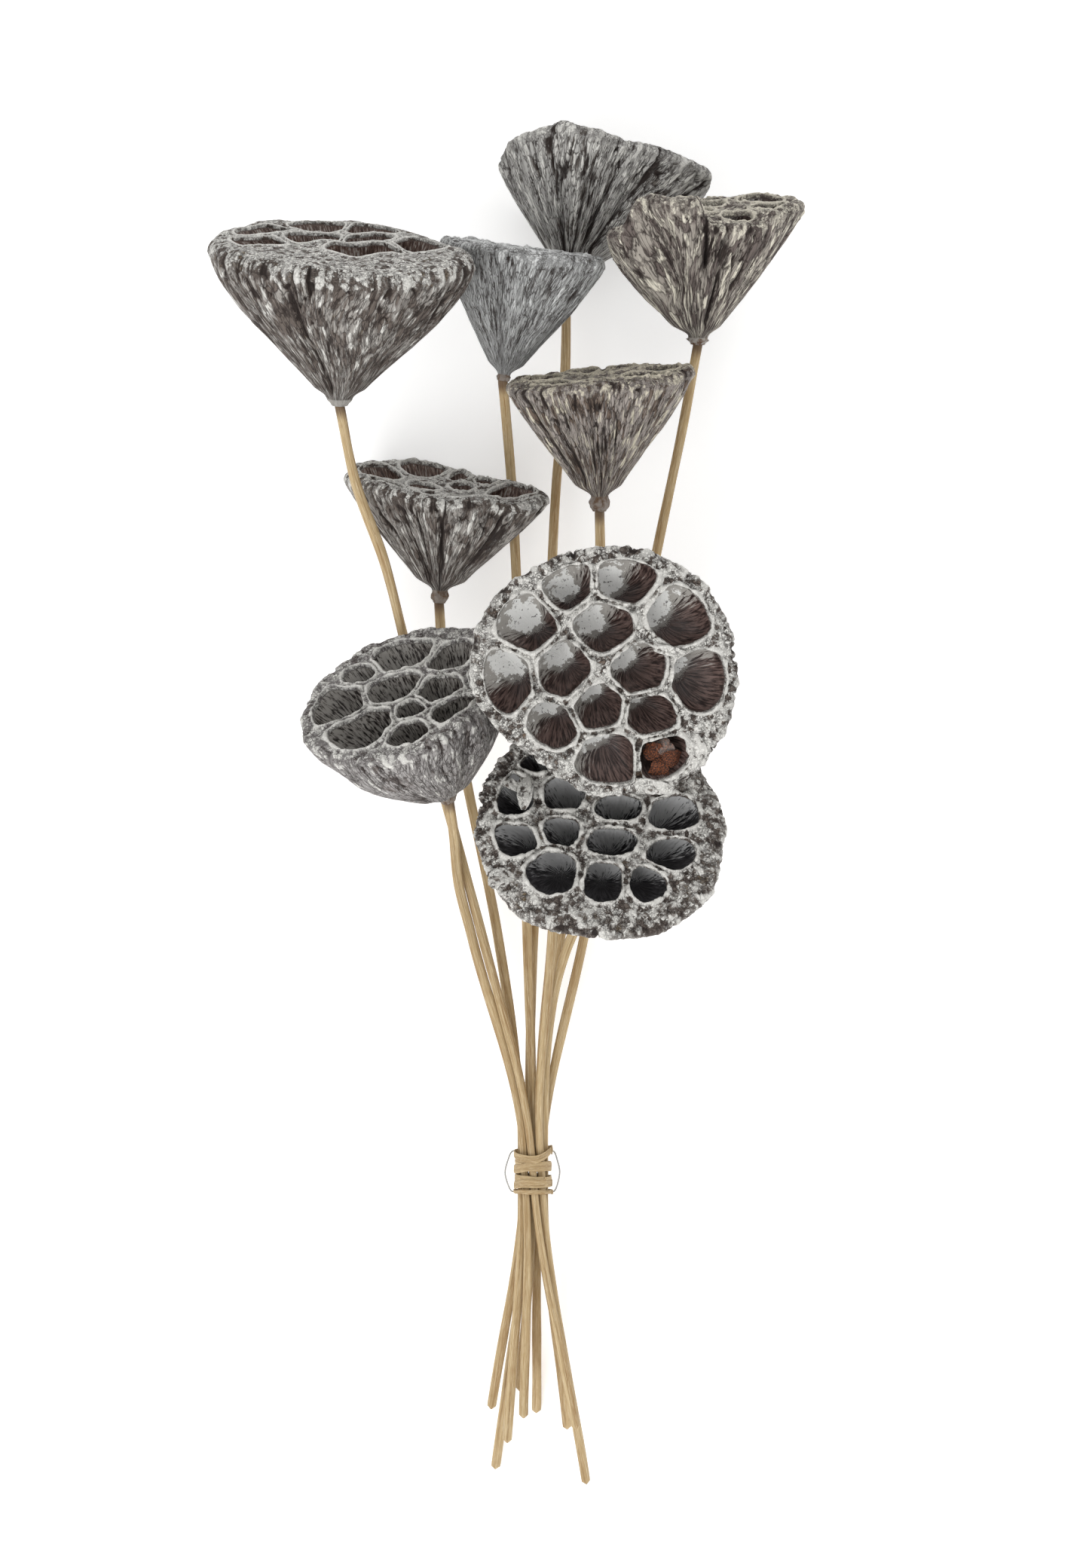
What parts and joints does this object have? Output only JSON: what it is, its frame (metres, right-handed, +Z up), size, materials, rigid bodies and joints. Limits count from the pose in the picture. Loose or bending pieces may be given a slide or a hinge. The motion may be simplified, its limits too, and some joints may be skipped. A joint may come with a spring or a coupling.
{
  "type": "bundle of dried lotus pods",
  "caption": "Cut bunch of dried, grey and white washed lotus pods on long tan sticks, held by a raffia tie and lying on its side.",
  "frame": {"origin": "on the ground, in the middle of the bunch's outline", "axes": "+Y along the bunch from the cut ends to the pods, +Z up from the surface it lies on, +X to the right when seen from above with the pods at the top"},
  "size_m": [0.211, 0.4921, 0.1314],
  "materials": {
    "grey_wash": "dry crinkled husk with a thin grey and white paint wash",
    "pale_wash": "dry crinkled husk with a thicker pale wash",
    "warm_wash": "dry crinkled husk with a thin yellowish wash over brown",
    "tan_stick": "dry split cane, satin, fine lengthwise grain",
    "raffia": "dry raffia strip, fibrous",
    "clear_thread": "thin clear nylon thread"
  },
  "bodies": {
    "root": {"pod_left_top": "grey_wash", "pod_behind_left": "pale_wash", "pod_top": "grey_wash", "pod_right_top": "warm_wash", "pod_right_middle": "warm_wash", "pod_left_middle": "grey_wash", "pod_left_low": "pale_wash", "pod_front_large": "grey_wash", "pod_front_low": "grey_wash", "stem_left_top": "tan_stick", "stem_behind_left": "tan_stick", "stem_top": "tan_stick", "stem_right_top": "tan_stick", "stem_right_middle": "tan_stick", "stem_left_middle": "tan_stick", "stem_left_low": "tan_stick", "stem_front_large": "tan_stick", "stem_front_low": "tan_stick", "raffia_tie": "raffia", "clear_thread": "clear_thread"}
  },
  "joints": []
}
